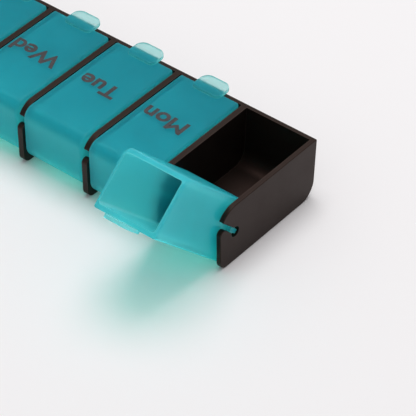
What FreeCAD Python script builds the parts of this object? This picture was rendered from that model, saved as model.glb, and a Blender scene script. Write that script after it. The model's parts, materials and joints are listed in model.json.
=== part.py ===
import FreeCAD, Part
import math
import os
import Sketcher

# Weekly travel pill organizer: one tray with seven bays, and one flip-out cup in each bay.
# A cup turns about two stub pins that sit in keyhole slots near the hinge side of the tray walls.
# Millimetres. +X runs along the row from Sunday to Saturday, -Y is the side with the thumb tabs,
# +Y is the hinge side, +Z is up. The origin is the middle of the tray's flat underside.

DAYS = ("sunday", "monday", "tuesday", "wednesday", "thursday", "friday", "saturday")
OPEN_DAY = "sunday"
STEPS_TO_END = (len(DAYS) - 1) / 2

# Two faces or edges nearer than this are in the same place.
SAME_PLACE = 1e-4

# Driving dimensions. A depth is measured from the tab-side face of the tray at its top edge,
# and a height from the surface that the tray stands on.
DIMENSIONS = {
    "bay_pitch": 22.0,
    "divider_thickness": 1.65,
    "end_wall_thickness": 1.3,
    "front_wall_thickness": 1.35,
    "floor_thickness": 1.1,
    "tray_depth": 38.5,
    "tray_height": 17.7,
    "front_lean": 1.24,
    "front_corner_radius": 5.2,
    "top_edge_radius": 0.4,
    "foot_radius": 2.4,
    "crown_radius": 6.0,
    "floor_depth": 31.0,
    "floor_end_radius": 0.5,
    "pivot_depth": 32.8,
    "pivot_height": 9.3,
    "hole_radius": 1.52,
    "slot_width": 1.4,
    "slot_reach": 12.0,
    "slot_lip_radius": 1.2,
    "slot_tip_radius": 0.5,
    "wall_edge_radius": 0.25,
    "side_gap": 0.45,
    "cup_rear_depth": 38.3,
    "cup_base_height": 1.6,
    "cup_top_height": 18.2,
    "mouth_top_depth": 1.7,
    "mouth_base_depth": 3.0,
    "mouth_base_radius": 3.0,
    "mouth_top_radius": 0.35,
    "shoulder_radius": 3.3,
    "rear_base_radius": 4.2,
    "panel_thickness": 1.3,
    "side_thickness": 1.0,
    "cup_edge_radius": 0.7,
    "cavity_edge_radius": 0.8,
    "pin_radius": 1.45,
    "pin_flat_height": 1.2,
    "pin_reach": 0.65,
    "tab_width": 8.9,
    "tab_overhang": 2.2,
    "tab_inner_depth": 4.0,
    "tab_base_height": 18.0,
    "tab_thickness": 1.0,
    "tab_outer_radius": 2.5,
    "tab_inner_radius": 1.4,
    "tab_edge_radius": 0.3,
    "open_angle": 134.7,
    "cut_margin": 2.0,
}


class Size:
    """A length that knows its value now and the sheet expression it comes from."""

    def __init__(self, value, text):
        self.value = value
        self.text = text

    def join(self, other, sign, value):
        return Size(value, f"({self.text} {sign} {as_size(other).text})")

    def __add__(self, other):
        return self.join(other, "+", self.value + as_size(other).value)

    def __sub__(self, other):
        return self.join(other, "-", self.value - as_size(other).value)

    def __mul__(self, other):
        return self.join(other, "*", self.value * as_size(other).value)

    def __truediv__(self, other):
        return self.join(other, "/", self.value / as_size(other).value)

    def __neg__(self):
        return Size(-self.value, f"(0 - {self.text})")


def as_size(number):
    """A plain number as a Size."""
    return number if isinstance(number, Size) else Size(float(number), repr(float(number)))


def make_sheet(doc):
    """The spreadsheet of driving dimensions, and each of them as a Size."""
    sheet = doc.addObject("Spreadsheet::Sheet", "dims")
    for row, (alias, value) in enumerate(DIMENSIONS.items(), start=1):
        sheet.set(f"A{row}", alias)
        sheet.set(f"B{row}", str(value))
        sheet.setAlias(f"B{row}", alias)
    doc.recompute()
    return {alias: Size(float(getattr(sheet, alias)), f"dims.{alias}") for alias in DIMENSIONS}


# ---------------------------------------------------------------- sketch helpers

def new_sketch(body, role, name):
    """A sketch on one of the body's own origin planes."""
    plane = next(item for item in body.Origin.OriginFeatures if item.Role == role)
    sketch = body.newObject("Sketcher::SketchObject", f"{body.Name}_{name}")
    sketch.AttachmentSupport = [(plane, "")]
    sketch.MapMode = "FlatFace"
    return sketch


def bind_constraint(sketch, kind, where, size, name):
    """Add a dimension to the sketch and tie it to the sheet."""
    index = sketch.addConstraint(Sketcher.Constraint(kind, *where, size.value))
    sketch.renameConstraint(index, name)
    sketch.setExpression(f"Constraints.{name}", size.text)


def bind_point(sketch, point, across, up, name):
    """Fix a point of the sketch at two sheet lengths from the sketch's origin."""
    for kind, axis, size in (("DistanceX", -2, across), ("DistanceY", -1, up)):
        if size.value > 0:
            bind_constraint(sketch, kind, (-1, 1, point, 1), size, name + kind[-1])
        elif size.value < 0:
            bind_constraint(sketch, kind, (point, 1, -1, 1), -size, name + kind[-1])
        else:
            sketch.addConstraint(Sketcher.Constraint("PointOnObject", point, 1, axis))


def draw_outline(sketch, corners):
    """A closed outline, counter-clockwise: straight runs through the corners, each corner
    (across, up, radius) rounded by a tangent arc where its radius isn't None."""
    spots = [FreeCAD.Vector(across.value, up.value, 0) for across, up, radius in corners]
    count = len(corners)
    runs = [(spots[(i + 1) % count] - spots[i]).normalize() for i in range(count)]
    trims = []
    for i, (across, up, radius) in enumerate(corners):
        turn = runs[i - 1].getAngle(runs[i])
        trims.append(radius.value * math.tan(turn / 2) if radius else 0.0)
    points = [sketch.addGeometry(Part.Point(spot), True) for spot in spots]
    lines = []
    for i in range(count):
        after = (i + 1) % count
        start = spots[i] + runs[i] * trims[i]
        end = spots[after] - runs[i] * trims[after]
        lines.append(sketch.addGeometry(Part.LineSegment(start, end), False))
    for i, (across, up, radius) in enumerate(corners):
        bind_point(sketch, points[i], across, up, f"corner{i}")
        if radius is None:
            sketch.addConstraint(Sketcher.Constraint("Coincident", lines[i - 1], 2, points[i], 1))
            sketch.addConstraint(Sketcher.Constraint("Coincident", lines[i], 1, points[i], 1))
            continue
        left_turn = runs[i - 1].cross(runs[i]).z > 0
        inward = FreeCAD.Vector(-runs[i - 1].y, runs[i - 1].x, 0) * (1 if left_turn else -1)
        centre = spots[i] - runs[i - 1] * trims[i] + inward * radius.value
        ends = [spots[i] - runs[i - 1] * trims[i] - centre, spots[i] + runs[i] * trims[i] - centre]
        angles = [math.atan2(end.y, end.x) for end in ends]
        first, last = angles if left_turn else reversed(angles)
        circle = Part.Circle(centre, FreeCAD.Vector(0, 0, 1), radius.value)
        arc = sketch.addGeometry(Part.ArcOfCircle(circle, first, last), False)
        near, far = (1, 2) if left_turn else (2, 1)
        sketch.addConstraint(Sketcher.Constraint("Tangent", lines[i - 1], 2, arc, near))
        sketch.addConstraint(Sketcher.Constraint("Tangent", lines[i], 1, arc, far))
        sketch.addConstraint(Sketcher.Constraint("PointOnObject", points[i], 1, lines[i - 1]))
        sketch.addConstraint(Sketcher.Constraint("PointOnObject", points[i], 1, lines[i]))
        bind_constraint(sketch, "Radius", (arc,), radius, f"round{i}")


def draw_circle(sketch, radius):
    """A circle about the sketch's origin."""
    circle = Part.Circle(FreeCAD.Vector(0, 0, 0), FreeCAD.Vector(0, 0, 1), radius.value)
    index = sketch.addGeometry(circle, False)
    sketch.addConstraint(Sketcher.Constraint("Coincident", index, 3, -1, 1))
    bind_constraint(sketch, "Radius", (index,), radius, "radius")


def draw_pin(sketch, radius, flat_height):
    """A double-D section about the sketch's origin: a disc between two level flats."""
    lean = math.asin(flat_height.value / 2 / radius.value)
    disc = Part.Circle(FreeCAD.Vector(0, 0, 0), FreeCAD.Vector(0, 0, 1), radius.value)
    right = sketch.addGeometry(Part.ArcOfCircle(disc, -lean, lean), False)
    left = sketch.addGeometry(Part.ArcOfCircle(disc, math.pi - lean, math.pi + lean), False)
    reach = radius.value * math.cos(lean)
    half = flat_height.value / 2
    corners = {(side, level): FreeCAD.Vector(side * reach, level * half, 0)
               for side in (-1, 1) for level in (-1, 1)}
    top = sketch.addGeometry(Part.LineSegment(corners[1, 1], corners[-1, 1]), False)
    base = sketch.addGeometry(Part.LineSegment(corners[-1, -1], corners[1, -1]), False)
    for joint in ((right, 2, top, 1), (top, 2, left, 1), (left, 2, base, 1), (base, 2, right, 1)):
        sketch.addConstraint(Sketcher.Constraint("Coincident", *joint))
    for arc in (right, left):
        sketch.addConstraint(Sketcher.Constraint("Coincident", arc, 3, -1, 1))
    for line in (top, base):
        sketch.addConstraint(Sketcher.Constraint("Horizontal", line))
    sketch.addConstraint(Sketcher.Constraint("Equal", left, right))
    bind_constraint(sketch, "Radius", (right,), radius, "radius")
    bind_constraint(sketch, "DistanceY", (-1, 1, top, 1), flat_height / 2, "upper_flat")
    bind_constraint(sketch, "DistanceY", (base, 2, -1, 1), flat_height / 2, "lower_flat")


# ---------------------------------------------------------------- solid helpers

def extrude(body, kind, sketch, length, symmetric=True):
    """Pad or pocket the sketch by a sheet length, to both sides of its plane or to one."""
    feature = body.newObject(f"PartDesign::{kind}", sketch.Name + "_" + kind.lower())
    feature.Profile = sketch
    feature.SideType = "Symmetric" if symmetric else "One side"
    feature.setExpression("Length", length.text)
    body.Document.recompute()
    return feature


def round_edges(body, feature, chosen, radius):
    """Fillet the edges of the feature for which chosen(edge) is true."""
    names = [f"Edge{i}" for i, edge in enumerate(feature.Shape.Edges, start=1) if chosen(edge)]
    fillet = body.newObject("PartDesign::Fillet", feature.Name + "_fillet")
    fillet.Base = (feature, names)
    fillet.setExpression("Radius", radius.text)
    body.Document.recompute()
    return fillet


def runs_along_row(edge):
    """True for a straight edge parallel to X."""
    box = edge.BoundBox
    return box.YLength < SAME_PLACE and box.ZLength < SAME_PLACE


def lies_at(edge, across):
    """True for an edge in the plane x = across or x = -across."""
    box = edge.BoundBox
    return box.XLength < SAME_PLACE and abs(abs(box.Center.x) - across) < SAME_PLACE


# ---------------------------------------------------------------- the tray

def make_tray(doc, d):
    """One moulding: two end walls, six dividers, a tab-side wall and a short floor. The side
    outline is padded along the whole row, the keyhole cut through it, and the bays taken out."""
    body = doc.addObject("PartDesign::Body", "tray")
    front = -(d["tray_depth"] / 2)
    rear = d["tray_depth"] / 2
    height = d["tray_height"]
    length = row_length(d)

    outline = new_sketch(body, "YZ_Plane", "outline")
    draw_outline(outline, [
        (front + d["front_lean"], as_size(0), d["front_corner_radius"]),
        (rear, as_size(0), d["foot_radius"]),
        (rear, height, d["crown_radius"]),
        (front, height, d["top_edge_radius"]),
    ])
    block = extrude(body, "Pad", outline, length)

    slot = keyhole_sketch(body, d, "slot")
    half_slot = d["slot_width"] / 2
    draw_outline(slot, [
        (as_size(0), -half_slot, None),
        (d["slot_reach"], -half_slot, None),
        (d["slot_reach"], half_slot, None),
        (as_size(0), half_slot, None),
    ])
    through = length + d["cut_margin"]
    slotted = extrude(body, "Pocket", slot, through)

    pivot = FreeCAD.Vector(0, (front + d["pivot_depth"]).value, d["pivot_height"].value)

    def slot_mouth(edge, lower):
        offset = edge.BoundBox.Center - pivot
        far = math.hypot(offset.y, offset.z) > d["crown_radius"].value
        inside = abs(offset.z - offset.y) < d["slot_width"].value
        return runs_along_row(edge) and far and inside and (offset.z < offset.y) == lower

    lipped = round_edges(body, slotted, lambda edge: slot_mouth(edge, True), d["slot_lip_radius"])
    tipped = round_edges(body, lipped, lambda edge: slot_mouth(edge, False), d["slot_tip_radius"])

    hole = keyhole_sketch(body, d, "hole")
    draw_circle(hole, d["hole_radius"])
    drilled = extrude(body, "Pocket", hole, through)

    bay = new_sketch(body, "YZ_Plane", "bay")
    bay.setExpression(".AttachmentOffset.Base.z", (-(d["bay_pitch"] * STEPS_TO_END)).text)
    inner = front + d["front_wall_thickness"]
    margin = d["cut_margin"]
    floor = d["floor_thickness"]
    draw_outline(bay, [
        (inner + d["front_lean"] * (height - floor) / height, floor, d["front_corner_radius"] - floor),
        (front + d["floor_depth"], floor, d["floor_end_radius"]),
        (front + d["floor_depth"], -margin, None),
        (rear + margin, -margin, None),
        (rear + margin, height + margin, None),
        (inner, height + margin, None),
        (inner, height, None),
    ])
    cut = extrude(body, "Pocket", bay, d["bay_pitch"] - d["divider_thickness"])
    row = body.newObject("PartDesign::LinearPattern", "tray_bays")
    row.Originals = [cut]
    row.Direction = (bay, ["N_Axis"])
    row.setExpression("Length", (d["bay_pitch"] * STEPS_TO_END * 2).text)
    row.Occurrences = len(DAYS)
    body.Tip = row
    doc.recompute()
    removed = drilled.Shape.Volume - row.Shape.Volume
    print(f"tray: block {block.Shape.Volume:.0f} mm3, bays take out {removed:.0f} mm3")

    # The rounding runs on from the foot of each end wall, all round its outline.
    end = length.value / 2
    body.Tip = round_edges(body, row, lambda edge: lies_at(edge, end)
                           and edge.BoundBox.ZMax < SAME_PLACE, d["wall_edge_radius"])
    return body


def row_length(d):
    """Outside length of the tray."""
    return d["bay_pitch"] * len(DAYS) - d["divider_thickness"] + d["end_wall_thickness"] * 2


def keyhole_sketch(body, d, name):
    """A sketch across the walls with its origin on the hinge axis, turned to the slot."""
    sketch = new_sketch(body, "YZ_Plane", name)
    across = d["pivot_depth"] - d["tray_depth"] / 2
    sketch.AttachmentOffset = FreeCAD.Placement(
        FreeCAD.Vector(across.value, d["pivot_height"].value, 0),
        FreeCAD.Rotation(FreeCAD.Vector(0, 0, 1), 180 - d["open_angle"].value))
    sketch.setExpression(".AttachmentOffset.Base.x", across.text)
    sketch.setExpression(".AttachmentOffset.Base.y", d["pivot_height"].text)
    sketch.setExpression(".AttachmentOffset.Rotation.Angle", f"180 - {d['open_angle'].text}")
    return sketch


# ---------------------------------------------------------------- the cups

def make_cup(doc, d, day):
    """One flip-out cup, drawn closed about its own hinge axis: a box with a rounded shoulder,
    a slanted open mouth, two stub pins with flats and a thumb tab on the lid."""
    body = doc.addObject("PartDesign::Body", f"cup_{day}")
    rear = d["cup_rear_depth"] - d["pivot_depth"]
    base = d["cup_base_height"] - d["pivot_height"]
    top = d["cup_top_height"] - d["pivot_height"]
    mouth_top = d["mouth_top_depth"] - d["pivot_depth"]
    mouth_base = d["mouth_base_depth"] - d["pivot_depth"]
    width = d["bay_pitch"] - d["divider_thickness"] - d["side_gap"] * 2
    panel = d["panel_thickness"]
    margin = d["cut_margin"]

    shell = new_sketch(body, "YZ_Plane", "shell")
    draw_outline(shell, [
        (mouth_base, base, d["mouth_base_radius"]),
        (rear, base, d["rear_base_radius"]),
        (rear, top, d["shoulder_radius"]),
        (mouth_top, top, d["mouth_top_radius"]),
    ])
    block = extrude(body, "Pad", shell, width)
    round_edges(body, block, lambda edge: lies_at(edge, width.value / 2), d["cup_edge_radius"])

    pins = new_sketch(body, "YZ_Plane", "pins")
    draw_pin(pins, d["pin_radius"], d["pin_flat_height"])
    extrude(body, "Pad", pins, width + (d["side_gap"] + d["pin_reach"]) * 2)

    cavity = new_sketch(body, "YZ_Plane", "cavity")
    draw_outline(cavity, [
        (mouth_top - margin, base + panel, None),
        (rear - panel, base + panel, d["rear_base_radius"] - panel),
        (rear - panel, top - panel, d["shoulder_radius"] - panel),
        (mouth_top - margin, top - panel, None),
    ])
    hollow_width = width - d["side_thickness"] * 2
    hollow = extrude(body, "Pocket", cavity, hollow_width)
    back = (rear - panel).value
    round_edges(body, hollow, lambda edge: lies_at(edge, hollow_width.value / 2)
                and edge.BoundBox.YMin > back - SAME_PLACE, d["cavity_edge_radius"])

    tab = new_sketch(body, "XY_Plane", "tab")
    tab.setExpression(".AttachmentOffset.Base.z", (d["tab_base_height"] - d["pivot_height"]).text)
    half = d["tab_width"] / 2
    outer = -(d["tab_overhang"] + d["pivot_depth"])
    inner = d["tab_inner_depth"] - d["pivot_depth"]
    draw_outline(tab, [
        (-half, outer, d["tab_outer_radius"]),
        (half, outer, d["tab_outer_radius"]),
        (half, inner, d["tab_inner_radius"]),
        (-half, inner, d["tab_inner_radius"]),
    ])
    tabbed = extrude(body, "Pad", tab, d["tab_thickness"], symmetric=False)
    tab_top = (d["tab_base_height"] + d["tab_thickness"] - d["pivot_height"]).value
    body.Tip = round_edges(body, tabbed, lambda edge: edge.BoundBox.ZMin > tab_top - SAME_PLACE,
                           d["tab_edge_radius"])
    place_cup(body, d, DAYS.index(day), day == OPEN_DAY)
    return body


def place_cup(body, d, number, is_open):
    """Hang the cup in its bay, on the hinge axis, closed or swung right over."""
    across = d["bay_pitch"] * (number - STEPS_TO_END)
    depth = d["pivot_depth"] - d["tray_depth"] / 2
    turn = d["open_angle"].value if is_open else 0.0
    body.Placement = FreeCAD.Placement(
        FreeCAD.Vector(across.value, depth.value, d["pivot_height"].value),
        FreeCAD.Rotation(FreeCAD.Vector(-1, 0, 0), turn))
    body.setExpression(".Placement.Base.x", across.text)
    body.setExpression(".Placement.Base.y", depth.text)
    body.setExpression(".Placement.Base.z", d["pivot_height"].text)
    if is_open:
        body.setExpression(".Placement.Rotation.Angle", d["open_angle"].text)


# ---------------------------------------------------------------- build, check and write

def check(doc, bodies):
    """Stop if any object failed, or a body isn't one valid solid."""
    for item in doc.Objects:
        if {"Invalid", "Error"} & set(item.State):
            raise RuntimeError(f"{item.Name} failed: {item.State}")
    for body in bodies:
        shape = body.Shape
        if shape.isNull() or not shape.isValid() or len(shape.Solids) != 1:
            raise RuntimeError(f"{body.Name} is not one valid solid")
        box = shape.BoundBox
        print(f"{body.Label:15s} {shape.Volume:8.0f} mm3  x {box.XMin:.2f} {box.XMax:.2f}"
              f"  y {box.YMin:.2f} {box.YMax:.2f}  z {box.ZMin:.2f} {box.ZMax:.2f}")


def main():
    doc = FreeCAD.newDocument("pill_organizer")
    d = make_sheet(doc)
    bodies = [make_tray(doc, d)]
    bodies += [make_cup(doc, d, day) for day in DAYS]
    for body in bodies:
        body.Label = body.Name
    doc.recompute()
    check(doc, bodies)
    os.makedirs("parts", exist_ok=True)
    for body in bodies:
        body.Shape.exportStep(f"parts/{body.Label}.step")


main()
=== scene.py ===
# %% [markdown]
# # A weekly travel pill organizer
# The real object is two kinds of moulding. A dark tray has seven bays, and in each bay hangs a
# see-through teal cup that swings out over the hinge side. Every solid comes from the CAD frame at its
# real size. This lesson adds what the frame can't hold: how the two plastics take the light, the fine
# marks on them, the day names printed on the lids, and a soft studio to show it in.

# %% Load the frame
import json
import math

import bpy
import numpy as np
from mathutils import Matrix, Quaternion, Vector


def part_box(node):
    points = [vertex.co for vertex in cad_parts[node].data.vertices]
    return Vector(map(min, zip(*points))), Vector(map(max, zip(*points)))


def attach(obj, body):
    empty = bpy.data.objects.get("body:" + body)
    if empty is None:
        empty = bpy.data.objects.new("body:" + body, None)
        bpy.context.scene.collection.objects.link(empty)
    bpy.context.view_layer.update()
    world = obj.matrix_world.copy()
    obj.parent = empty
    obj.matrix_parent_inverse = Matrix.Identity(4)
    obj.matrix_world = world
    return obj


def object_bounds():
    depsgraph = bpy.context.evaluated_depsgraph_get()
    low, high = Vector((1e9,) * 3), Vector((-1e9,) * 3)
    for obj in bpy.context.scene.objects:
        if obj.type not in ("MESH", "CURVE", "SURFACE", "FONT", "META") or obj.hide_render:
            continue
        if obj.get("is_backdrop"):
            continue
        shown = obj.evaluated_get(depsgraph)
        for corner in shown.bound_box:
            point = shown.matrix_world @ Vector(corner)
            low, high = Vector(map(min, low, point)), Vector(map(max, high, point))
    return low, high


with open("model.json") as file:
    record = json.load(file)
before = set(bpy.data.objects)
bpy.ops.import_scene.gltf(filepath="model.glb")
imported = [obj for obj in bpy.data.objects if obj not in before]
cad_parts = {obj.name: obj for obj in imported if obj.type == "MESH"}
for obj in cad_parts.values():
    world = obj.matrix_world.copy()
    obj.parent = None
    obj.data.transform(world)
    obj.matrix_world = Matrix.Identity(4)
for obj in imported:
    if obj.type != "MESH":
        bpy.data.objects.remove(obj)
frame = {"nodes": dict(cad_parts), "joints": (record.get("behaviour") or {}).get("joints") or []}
cad_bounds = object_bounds()

MM = 0.001
TRAY = "tray"
DAYS = ("sunday", "monday", "tuesday", "wednesday", "thursday", "friday", "saturday")
CUPS = tuple("cup_" + day for day in DAYS)
HINGES = {joint["child"]: joint for joint in frame["joints"]}
print("nodes:", sorted(frame["nodes"]))

# %% [markdown]
# Two cups at the same place in their own bays are the same moulding, but one of them stands open. A
# pattern has to sit on the plastic in the same way on both, and a day name has to lie on the lid in the
# same way. So each cup gets a small rest frame: the turn that carries a closed cup to where it is now.
# It comes from the hinge alone: a closed cup turns by nothing, and an open one by its whole travel.

# %% How far each cup is turned at rest
def resting_turn(cup):
    """The angle in radians from the closed cup to the cup at rest: minus the lower joint limit."""
    lowest, highest = HINGES[cup]["range_deg"]
    return math.radians(-lowest)


def from_closed(cup):
    """The matrix that swings a closed cup about its own hinge to where it rests."""
    hinge = HINGES[cup]
    pin = Matrix.Translation(Vector(hinge["pos_m"]))
    swing = Matrix.Rotation(resting_turn(cup), 4, Vector(hinge["axis"]))
    return pin @ swing @ pin.inverted()


for cup in CUPS:
    print(f"{cup}: turned {math.degrees(resting_turn(cup)):.1f} degrees at rest")

# %% [markdown]
# ## Shared effects
# Both plastics come out of steel moulds and then live in a bag, so they share four effects. Each one is
# a node group with named inputs, built once and given its own values in each material: the grain that
# the mould leaves, the slow cloudiness of the melt, the marks of handling, and a mask of the rounded
# corners, where a highlight is painted.

# %% A helper for node groups
def new_group(name, inputs, outputs):
    """An empty shader node group. Inputs are (name, socket type, default), outputs (name, type)."""
    tree = bpy.data.node_groups.new(name, "ShaderNodeTree")
    for label, kind, default in inputs:
        socket = tree.interface.new_socket(label, in_out="INPUT", socket_type=kind)
        if default is not None:
            socket.default_value = default
    for label, kind in outputs:
        tree.interface.new_socket(label, in_out="OUTPUT", socket_type=kind)
    return tree, tree.nodes.new("NodeGroupInput"), tree.nodes.new("NodeGroupOutput")


def add(tree, kind, inputs=(), **settings):
    """Add a node, set its options, and fill its inputs with values or links by name or number."""
    node = tree.nodes.new(kind)
    for key, value in settings.items():
        setattr(node, key, value)
    for key, value in dict(inputs).items():
        if isinstance(value, bpy.types.NodeSocket):
            tree.links.new(value, node.inputs[key])
        else:
            node.inputs[key].default_value = value
    return node


VALUE, COLOUR, VECTOR = "NodeSocketFloat", "NodeSocketColor", "NodeSocketVector"

# %% [markdown]
# Spark-eroded mould steel leaves a fine, even grain. Noise of two sizes gives its height, which a Bump
# node in each material turns into a normal. The sizes are in grains per metre, so they stay true to
# the real object whatever the camera does.

# %% Mould grain
def make_grain():
    """Height = fine noise, plus a little of a noise three times as coarse."""
    tree, given, out = new_group(
        "mould_grain",
        [("Vector", VECTOR, None), ("Grains per Metre", VALUE, 3000.0)],
        [("Height", VALUE)])
    fine = add(tree, "ShaderNodeTexNoise", {
        "Vector": given.outputs["Vector"], "Scale": given.outputs["Grains per Metre"],
        "Detail": 2.0, "Roughness": 0.6})
    coarser = add(tree, "ShaderNodeMath", {0: given.outputs["Grains per Metre"], 1: 3.0},
                  operation="DIVIDE")
    coarse = add(tree, "ShaderNodeTexNoise", {
        "Vector": given.outputs["Vector"], "Scale": coarser.outputs[0], "Detail": 1.0})
    both = add(tree, "ShaderNodeMath", {
        0: coarse.outputs["Fac"], 1: 0.4, 2: fine.outputs["Fac"]}, operation="MULTIPLY_ADD")
    tree.links.new(both.outputs[0], out.inputs["Height"])
    return tree


GRAIN = make_grain()

# %% [markdown]
# Coloured plastic is pellets and pigment stirred together while hot, so its colour drifts a little in
# soft swirls where the melt flowed. A noise bent by itself mixes two close colours.

# %% Melt swirls
def make_swirl():
    """Colour = a mix of two tones by a noise warped by itself."""
    tree, given, out = new_group(
        "melt_swirl",
        [("Vector", VECTOR, None), ("Tone A", COLOUR, (1, 1, 1, 1)), ("Tone B", COLOUR, (1, 1, 1, 1)),
         ("Swirls per Metre", VALUE, 60.0)],
        [("Colour", COLOUR)])
    noise = add(tree, "ShaderNodeTexNoise", {
        "Vector": given.outputs["Vector"], "Scale": given.outputs["Swirls per Metre"],
        "Detail": 3.0, "Roughness": 0.55, "Distortion": 1.2})
    soft = add(tree, "ShaderNodeMapRange", {
        "Value": noise.outputs["Fac"], "From Min": 0.3, "From Max": 0.7},
        interpolation_type="SMOOTHSTEP")
    mixed = add(tree, "ShaderNodeMix", {
        "Factor": soft.outputs[0], 6: given.outputs["Tone A"], 7: given.outputs["Tone B"]},
        data_type="RGBA")
    tree.links.new(mixed.outputs[2], out.inputs["Colour"])
    return tree


SWIRL = make_swirl()

# %% [markdown]
# Handling leaves two marks. Fingers leave broad patches that are a little duller, and grit leaves
# hair-thin scratches that run mostly one way. Both change only how rough the surface is. The cups take
# hardly any: their walls showed the marks as mottling, the smudges most of all and the scratches less.

# %% Handling marks
def make_handling():
    """Roughness = base, plus smudges, plus thin lines where a stretched noise crosses its middle."""
    tree, given, out = new_group(
        "handling_marks",
        [("Vector", VECTOR, None), ("Base", VALUE, 0.3), ("Smudge", VALUE, 0.06),
         ("Scratch", VALUE, 0.1)],
        [("Roughness", VALUE)])
    smudge = add(tree, "ShaderNodeTexNoise", {
        "Vector": given.outputs["Vector"], "Scale": 140.0, "Detail": 4.0, "Roughness": 0.6})
    dull = add(tree, "ShaderNodeMath", {
        0: smudge.outputs["Fac"], 1: given.outputs["Smudge"], 2: given.outputs["Base"]},
        operation="MULTIPLY_ADD")
    along = add(tree, "ShaderNodeMapping", {
        "Vector": given.outputs["Vector"], "Rotation": (0.0, 0.0, math.radians(28.0)),
        "Scale": (1.0, 14.0, 4.0)})
    hairs = add(tree, "ShaderNodeTexNoise", {
        "Vector": along.outputs[0], "Scale": 220.0, "Detail": 2.0, "Distortion": 0.4})
    off = add(tree, "ShaderNodeMath", {0: hairs.outputs["Fac"], 1: 0.5}, operation="SUBTRACT")
    near = add(tree, "ShaderNodeMath", {0: off.outputs[0]}, operation="ABSOLUTE")
    line = add(tree, "ShaderNodeMapRange", {
        "Value": near.outputs[0], "From Min": 0.0, "From Max": 0.006, "To Min": 1.0, "To Max": 0.0})
    total = add(tree, "ShaderNodeMath", {
        0: line.outputs[0], 1: given.outputs["Scratch"], 2: dull.outputs[0]},
        operation="MULTIPLY_ADD")
    tree.links.new(total.outputs[0], out.inputs["Roughness"])
    return tree


HANDLING = make_handling()

# %% [markdown]
# Rounded corners are where a moulding catches light, so a highlight is painted there: the tray's corners
# are painted paler, and the cups' a paler teal glow, for light that has run along inside the wall and
# leaks out. A Bevel node looks a short way round each point, and where the smoothed normal leaves the
# true one there is a corner. One mask then serves both plastics.

# %% Corner mask
def make_corners():
    """Mask = how far the normal averaged over a radius has turned from the surface's own normal."""
    tree, given, out = new_group("corner_mask", [("Radius", VALUE, 0.5 * MM)], [("Mask", VALUE)])
    smoothed = add(tree, "ShaderNodeBevel", {"Radius": given.outputs["Radius"]}, samples=6)
    own = add(tree, "ShaderNodeNewGeometry")
    match = add(tree, "ShaderNodeVectorMath", {
        0: smoothed.outputs[0], 1: own.outputs["Normal"]}, operation="DOT_PRODUCT")
    either_side = add(tree, "ShaderNodeMath", {0: match.outputs["Value"]}, operation="ABSOLUTE")
    mask = add(tree, "ShaderNodeMapRange", {
        "Value": either_side.outputs[0], "From Min": 0.995, "From Max": 0.85})
    tree.links.new(mask.outputs[0], out.inputs["Mask"])
    return tree


CORNERS = make_corners()

print("shared groups:", GRAIN.name, SWIRL.name, HANDLING.name, CORNERS.name)

# %% [markdown]
# Every material starts as an empty node tree, and takes the shared groups with its own values. The
# shaders themselves stay in each material, where they can be seen together.

# %% Helpers for materials
def use(tree, group, inputs):
    """Place a shared group in a material with its own values."""
    node = tree.nodes.new("ShaderNodeGroup")
    node.node_tree = group
    for key, value in inputs.items():
        if isinstance(value, bpy.types.NodeSocket):
            tree.links.new(value, node.inputs[key])
        else:
            node.inputs[key].default_value = value
    return node


def new_material(name):
    """An empty node material and its output node."""
    material = bpy.data.materials.new(name)
    material.use_nodes = True
    tree = material.node_tree
    tree.nodes.clear()
    return material, tree, tree.nodes.new("ShaderNodeOutputMaterial")


def put_on(obj, material):
    """Give an object this one material. A CAD node keeps its mesh and only its slots change."""
    obj.data.materials.clear()
    obj.data.materials.append(material)


def blend(tree, factor, first, second):
    """A colour that runs from the first to the second as the factor goes from 0 to 1."""
    return add(tree, "ShaderNodeMix", {"Factor": factor, 6: first, 7: second},
               data_type="RGBA").outputs[2]


print("material helpers:", use.__name__, new_material.__name__, put_on.__name__, blend.__name__)

# %% [markdown]
# ## Tray plastic
# The tray is a dark brown-black moulding with a satin skin. It is opaque, so one Principled shader does
# it: a very dark warm colour, fairly rough, with grain in the normal. Its gloss is kept low, because a
# grained skin scatters the light and looks soft even at a glancing angle.

# %% Make the tray plastic
TRAY_TONES = (0.0065, 0.0048, 0.0040, 1), (0.0085, 0.0062, 0.0052, 1)
# Painted highlight: the paler colour laid on the tray's rounded corners, where light catches them.
TRAY_EDGE_HIGHLIGHT = (0.040, 0.029, 0.024, 1)
TRAY_SHEEN = (1, 0.60, 0.50, 1)
GRAIN_DEPTH = 0.02 * MM


def tray_plastic():
    """The dark satin plastic of the tray."""
    material, tree, out = new_material("tray_plastic")
    place = add(tree, "ShaderNodeTexCoord").outputs["Object"]
    colour = use(tree, SWIRL, {
        "Vector": place, "Tone A": TRAY_TONES[0], "Tone B": TRAY_TONES[1],
        "Swirls per Metre": 90.0})
    corners = use(tree, CORNERS, {"Radius": 0.45 * MM})
    # Painted highlight: the corner mask mixes the paler colour into the tray's rounded corners.
    edge_highlight = blend(tree, corners.outputs["Mask"], colour.outputs["Colour"], TRAY_EDGE_HIGHLIGHT)
    marks = use(tree, HANDLING, {"Vector": place, "Base": 0.40, "Smudge": 0.12, "Scratch": 0.10})
    grain = use(tree, GRAIN, {"Vector": place, "Grains per Metre": 4200.0})
    bump = add(tree, "ShaderNodeBump", {"Height": grain.outputs["Height"], "Strength": 0.35,
                                        "Distance": GRAIN_DEPTH})
    skin = add(tree, "ShaderNodeBsdfPrincipled", {
        "Base Color": edge_highlight, "Roughness": marks.outputs["Roughness"],
        "Normal": bump.outputs["Normal"], "IOR": 1.49, "Specular IOR Level": 0.30,
        "Specular Tint": TRAY_SHEEN})
    tree.links.new(skin.outputs[0], out.inputs["Surface"])
    return material


put_on(frame["nodes"][TRAY], tray_plastic())

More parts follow.
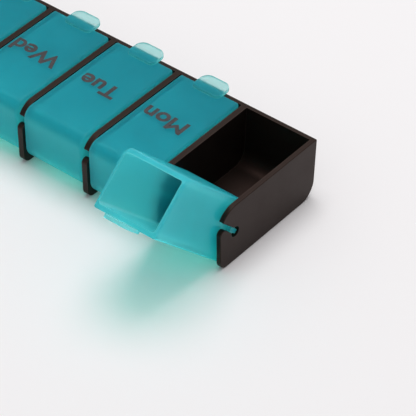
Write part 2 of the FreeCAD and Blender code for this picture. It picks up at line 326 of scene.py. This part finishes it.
# %% [markdown]
# ## Cup plastic
# The cups are tinted, cloudy polypropylene. Some light goes straight through, blurred and only a little
# tinted, as where a thumb tab stands over the pale table. The rest is scattered in the wall: part comes
# back a deep teal, and part leaves on the far side, so a wall lit from behind glows. One shader has only
# one colour for all three, so a clear Principled, a cloudy Principled and a Translucent shader are
# mixed. For rays that ask whether a lamp is visible, the wall is a sheet of tinted gel: that lets lamp
# light into the cups and lays their green-teal glow on the floor.

# %% Make the cup plastic
CLOUDINESS = 0.52          # share of the light that a wall's surface scatters
CLOUDINESS_IN_TAB = 0.38   # the same in the thin tab
SCATTERED_ON = 0.62        # share of the scattered light that goes on to the far side
CUP_DEPTHS = (0.005, 0.50, 0.68, 1), (0.009, 0.57, 0.76, 1)
GEL = (0.29, 0.63, 0.55, 1)
CLEAR_BODY, CLEAR_THIN = (0.56, 0.95, 0.90, 1), (0.90, 0.98, 0.97, 1)
# The first colour is a painted glow, a paler teal for the cups' corners and rims; the second is the
# cloud of the thin tab.
PAINTED_EDGE_GLOW, CLOUD_THIN = (0.30, 0.95, 0.96, 1), (0.42, 0.86, 0.85, 1)
THROUGH_GLOW = (0.24, 0.95, 0.96, 1)
TAB_STARTS = -17.6 * MM    # along Y in the closed cup, where the thumb tab leaves the lid
TAB_IS_THIN = -18.6 * MM


def cup_plastic(cup):
    """The plastic of one cup, with its patterns set in the closed cup's own place."""
    material, tree, out = new_material("plastic_" + cup)
    place = add(tree, "ShaderNodeTexCoord").outputs["Object"]
    back = from_closed(cup).inverted()
    held = add(tree, "ShaderNodeMapping", {
        "Vector": place, "Location": back.to_translation(), "Rotation": back.to_euler()}).outputs[0]
    along = add(tree, "ShaderNodeSeparateXYZ", {0: held}).outputs["Y"]
    thin = add(tree, "ShaderNodeMapRange", {
        "Value": along, "From Min": TAB_STARTS, "From Max": TAB_IS_THIN}).outputs[0]
    share = add(tree, "ShaderNodeMapRange", {
        "Value": thin, "To Min": CLOUDINESS, "To Max": CLOUDINESS_IN_TAB}).outputs[0]
    corners = use(tree, CORNERS, {"Radius": 0.5 * MM}).outputs["Mask"]
    deep = use(tree, SWIRL, {
        "Vector": held, "Tone A": CUP_DEPTHS[0], "Tone B": CUP_DEPTHS[1],
        "Swirls per Metre": 70.0}).outputs["Colour"]
    # Painted glow: the corner mask swaps the deep teal for the paler edge colour at corners and rims.
    cloud_colour = blend(tree, thin, blend(tree, corners, deep, PAINTED_EDGE_GLOW), CLOUD_THIN)
    clear_colour = blend(tree, thin, CLEAR_BODY, CLEAR_THIN)
    marks = use(tree, HANDLING, {"Vector": held, "Base": 0.23, "Smudge": 0.03, "Scratch": 0.0})
    grain = use(tree, GRAIN, {"Vector": held, "Grains per Metre": 3000.0})
    bump = add(tree, "ShaderNodeBump", {"Height": grain.outputs["Height"], "Strength": 0.15,
                                        "Distance": GRAIN_DEPTH})
    finish = {"Roughness": marks.outputs["Roughness"], "Normal": bump.outputs["Normal"], "IOR": 1.3}
    clear = add(tree, "ShaderNodeBsdfPrincipled", {
        "Base Color": clear_colour, "Transmission Weight": 1.0, **finish})
    cloudy = add(tree, "ShaderNodeBsdfPrincipled", {
        "Base Color": cloud_colour, "Specular IOR Level": 0.3, **finish})
    through = add(tree, "ShaderNodeBsdfTranslucent", {"Color": THROUGH_GLOW})
    milk = add(tree, "ShaderNodeMixShader", {
        0: SCATTERED_ON, 1: cloudy.outputs[0], 2: through.outputs[0]})
    wall = add(tree, "ShaderNodeMixShader", {0: share, 1: clear.outputs[0], 2: milk.outputs[0]})
    gel = add(tree, "ShaderNodeBsdfTransparent", {"Color": GEL})
    ray = add(tree, "ShaderNodeLightPath")
    surface = add(tree, "ShaderNodeMixShader", {
        0: ray.outputs["Is Shadow Ray"], 1: wall.outputs[0], 2: gel.outputs[0]})
    tree.links.new(surface.outputs[0], out.inputs["Surface"])
    return material


for cup in CUPS:
    put_on(frame["nodes"][cup], cup_plastic(cup))

# %% [markdown]
# ## Day names
# Each lid has its day printed across it, upright for a user at the tab side. The print is ink with
# hardly any thickness. It could be painted in the lid's material, but a real thin mesh keeps crisp
# edges in every view, so each name is a text object turned into a mesh a few hundredths of a
# millimetre thick. A bevel makes the strokes bolder, because pushing the outline out instead leaves
# black triangles in the M. Its place goes into the mesh, and the cup's turn at rest after it.

# %% Print the names on the lids
CAP_HEIGHT = 4.85 * MM
PRINT_WIDTH = 1.12          # letters this much wider than the built-in face
PRINT_THICKNESS = 0.03 * MM
PRINT_GAP = 0.005 * MM      # between the lid and the ink, so that no two faces coincide
BASELINE_FROM_HINGE = 16.3 * MM
PRINT_SHIFT = 0.9 * MM      # the name sits a little towards the last day
LID_TOP = 18.2 * MM
BOLDNESS = 0.028            # how far the ink stands out past each outline, in letter sizes


def ink(name="label_ink"):
    """Dark warm print, slightly uneven where it was laid on thinner."""
    material, tree, out = new_material(name)
    place = add(tree, "ShaderNodeTexCoord").outputs["Object"]
    colour = use(tree, SWIRL, {
        "Vector": place, "Tone A": (0.030, 0.026, 0.030, 1), "Tone B": (0.060, 0.050, 0.055, 1),
        "Swirls per Metre": 600.0})
    marks = use(tree, HANDLING, {"Vector": place, "Base": 0.38, "Smudge": 0.15, "Scratch": 0.12})
    skin = add(tree, "ShaderNodeBsdfPrincipled", {
        "Base Color": colour.outputs["Colour"], "Roughness": marks.outputs["Roughness"],
        "Specular IOR Level": 0.35})
    tree.links.new(skin.outputs[0], out.inputs["Surface"])
    return material


def letters_mesh(word):
    """The word as a closed mesh in letter sizes, baseline at y = 0, with a bevel that widens each
    stroke and rounds its edge, and z from 0 at the lid to 1 at the top of the ink."""
    curve = bpy.data.curves.new(word, "FONT")
    curve.body = word
    curve.bevel_depth = BOLDNESS
    curve.bevel_resolution = 1
    curve.resolution_u = 6
    shown = bpy.data.objects.new(word, curve)
    bpy.context.scene.collection.objects.link(shown)
    bpy.context.view_layer.update()
    mesh = bpy.data.meshes.new_from_object(shown)
    bpy.data.objects.remove(shown)
    bpy.data.curves.remove(curve)
    places = np.empty(len(mesh.vertices) * 3, np.float32)
    mesh.vertices.foreach_get("co", places)
    places = places.reshape(-1, 3)
    places[:, 2] = (places[:, 2] + BOLDNESS) / (2 * BOLDNESS)
    return mesh, places


CAP_SHARE = letters_mesh("T")[1][:, 1].max()
INK = ink()


def print_name(day, cup):
    """The day's first three letters on the lid of its cup, riding on that cup."""
    mesh, places = letters_mesh(day[:3].capitalize())
    hinge = Vector(HINGES[cup]["pos_m"])
    size = CAP_HEIGHT / CAP_SHARE
    middle = (places[:, 0].min() + places[:, 0].max()) / 2
    placed = np.column_stack((
        (places[:, 0] - middle) * size * PRINT_WIDTH + hinge.x + PRINT_SHIFT,
        places[:, 1] * size + hinge.y - BASELINE_FROM_HINGE,
        places[:, 2] * PRINT_THICKNESS + LID_TOP + PRINT_GAP))
    mesh.vertices.foreach_set("co", placed.astype(np.float32).ravel())
    mesh.transform(from_closed(cup))
    name = bpy.data.objects.new("label_" + day, mesh)
    bpy.context.scene.collection.objects.link(name)
    put_on(name, INK)
    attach(name, cup)
    width = np.ptp(placed[:, 0]) / MM
    print(f"{name.name}: {width:.1f} mm wide, {len(mesh.polygons)} faces")


for day, cup in zip(DAYS, CUPS):
    print_name(day, cup)

# %% [markdown]
# ## Studio
# The floor is a plain pale sheet, far larger than the view, and clear when looked at from below. A big
# soft panel hangs high over the tab side, so light comes through the cups towards the viewer and lays
# a teal glow on the floor in front of the open one. The room is a soft white, for pale shadows.

# %% Floor, lights and room
PANEL_PLACE = (0.10, -0.30, 1.30)
PANEL_SIZE = 0.9            # metres along each edge
PANEL_POWER = 11.7          # watts
ROOM_WHITE = (1.0, 0.985, 0.99, 1)
ROOM_STRENGTH = 0.46


def pale_floor():
    """A matt off-white sheet, clear from its back."""
    material, tree, out = new_material("pale_floor")
    skin = add(tree, "ShaderNodeBsdfPrincipled", {
        "Base Color": (0.90, 0.885, 0.893, 1), "Roughness": 0.9, "Specular IOR Level": 0.1})
    open_below = add(tree, "ShaderNodeBsdfTransparent", {"Color": (1, 1, 1, 1)})
    side = add(tree, "ShaderNodeNewGeometry")
    surface = add(tree, "ShaderNodeMixShader", {
        0: side.outputs["Backfacing"], 1: skin.outputs[0], 2: open_below.outputs[0]})
    tree.links.new(surface.outputs[0], out.inputs["Surface"])
    return material


FLOOR_GAP = 0.02 * MM      # keeps the floor out of the plane of the tray's underside


def make_floor(reach=6.0):
    """A flat square a hair under z = 0, from one loop of four corners."""
    mesh = bpy.data.meshes.new("floor")
    corners = [(-reach, -reach, -FLOOR_GAP), (reach, -reach, -FLOOR_GAP),
               (reach, reach, -FLOOR_GAP), (-reach, reach, -FLOOR_GAP)]
    mesh.from_pydata(corners, [], [(0, 1, 2, 3)])
    floor = bpy.data.objects.new("floor", mesh)
    bpy.context.scene.collection.objects.link(floor)
    put_on(floor, pale_floor())
    floor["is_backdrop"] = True


def soft_panel(name, place, size, power, aim=(0.0, 0.0, 0.0)):
    """A square area light at a place, turned to face the aim point, hidden from the camera."""
    lamp = bpy.data.lights.new(name, "AREA")
    lamp.size = size
    lamp.energy = power
    panel = bpy.data.objects.new(name, lamp)
    panel.location = place
    panel.rotation_mode = "QUATERNION"
    panel.rotation_quaternion = (Vector(aim) - Vector(place)).to_track_quat("-Z", "Y")
    panel.visible_camera = False
    bpy.context.scene.collection.objects.link(panel)


make_floor()
soft_panel("main_panel", PANEL_PLACE, PANEL_SIZE, PANEL_POWER)

room = bpy.data.worlds.new("room")
room.use_nodes = True
light_all_round = room.node_tree.nodes["Background"].inputs
light_all_round["Color"].default_value = ROOM_WHITE
light_all_round["Strength"].default_value = ROOM_STRENGTH
bpy.context.scene.world = room
bpy.context.scene.view_settings.view_transform = "Standard"
print("panel", PANEL_SIZE, "m wide,", PANEL_POWER, "W; room strength", ROOM_STRENGTH)

# %% [markdown]
# ## Camera
# The view looks down over the hinge side at the Sunday end, from far off with a long lens, so edges
# that are parallel on the object stay nearly parallel in the picture. The aim point is on the floor,
# a bay's width in from the Sunday end, and the position follows from two angles and a distance.

# %% Place the camera
AIM_FROM_END = 17.6 * MM
AIM_TO_HINGE_SIDE = 2.8 * MM
AZIMUTH, ELEVATION, ROLL = (math.radians(angle) for angle in (219.75, 41.18, -0.53))
DISTANCE = 0.6546
LENS = 223.0                # millimetres


def make_camera():
    """A camera at two angles and a distance from the aim point, turned to face it."""
    tray_low, tray_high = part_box(TRAY)
    aim = Vector((tray_low.x + AIM_FROM_END, AIM_TO_HINGE_SIDE, 0.0))
    back = Vector((math.sin(AZIMUTH) * math.cos(ELEVATION), -math.cos(AZIMUTH) * math.cos(ELEVATION),
                   math.sin(ELEVATION)))
    camera = bpy.data.objects.new("camera", bpy.data.cameras.new("camera"))
    camera.data.lens = LENS
    camera.location = aim + back * DISTANCE
    camera.rotation_mode = "QUATERNION"
    camera.rotation_quaternion = (-back).to_track_quat("-Z", "Y") @ Quaternion((0, 0, 1), ROLL)
    bpy.context.scene.collection.objects.link(camera)
    bpy.context.scene.camera = camera
    print("camera at", [round(c, 4) for c in camera.location])


make_camera()

# %% [markdown]
# ## Measure and finish
# The visual model is meant to keep the frame's size, so both boxes are printed in millimetres.

# %% Write the sizes and finish
visual_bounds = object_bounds()
sizes = {"cad": [list(corner) for corner in cad_bounds],
         "visual": [list(corner) for corner in visual_bounds]}
for label, (low, high) in sizes.items():
    print(label, "box in mm:", [round((b - a) / MM, 2) for a, b in zip(low, high)])
